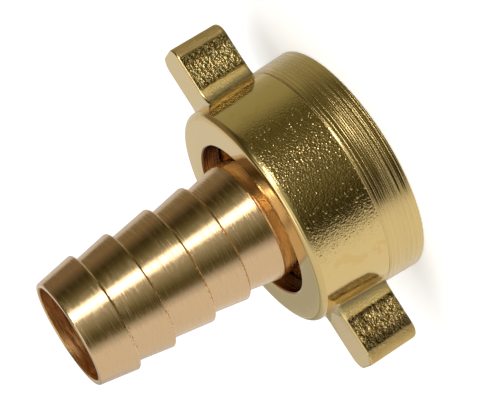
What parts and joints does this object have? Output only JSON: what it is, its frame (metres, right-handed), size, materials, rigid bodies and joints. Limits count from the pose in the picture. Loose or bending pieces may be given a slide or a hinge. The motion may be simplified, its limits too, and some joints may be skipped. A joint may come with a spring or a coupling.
{
  "type": "hose barb tail",
  "caption": "Barbed hose tail held in a loose wing nut with an internal pipe thread, for joining a flexible hose to a threaded pipe or tap.",
  "frame": {"origin": "centre of the nut's open rim, in the plane of the rim's face, which is the lowest part", "axes": "+Z along the tail from the nut to the tail's open tip; the nut's wings lie along +X and -X"},
  "size_m": [0.059, 0.04, 0.0534],
  "materials": {
    "turned_brass": "satin turned",
    "forged_brass": "forged and tumbled, machined on the face and rim",
    "washer_rubber": "matt"
  },
  "bodies": {
    "nut": {"wing_nut": "forged_brass"},
    "washer": {"sealing_washer": "washer_rubber"},
    "tail": {"hose_tail": "turned_brass"}
  },
  "joints": [
    {"name": "nut_swivel", "type": "hinge", "parent": "nut", "child": "washer", "pos_m": [0, 0, 0.00945], "axis": [0, 0, 1], "continuous": true},
    {"name": "tail_lift", "type": "slide", "parent": "washer", "child": "tail", "axis": [0, 0, 1], "range_m": [0, 0.0004]}
  ]
}
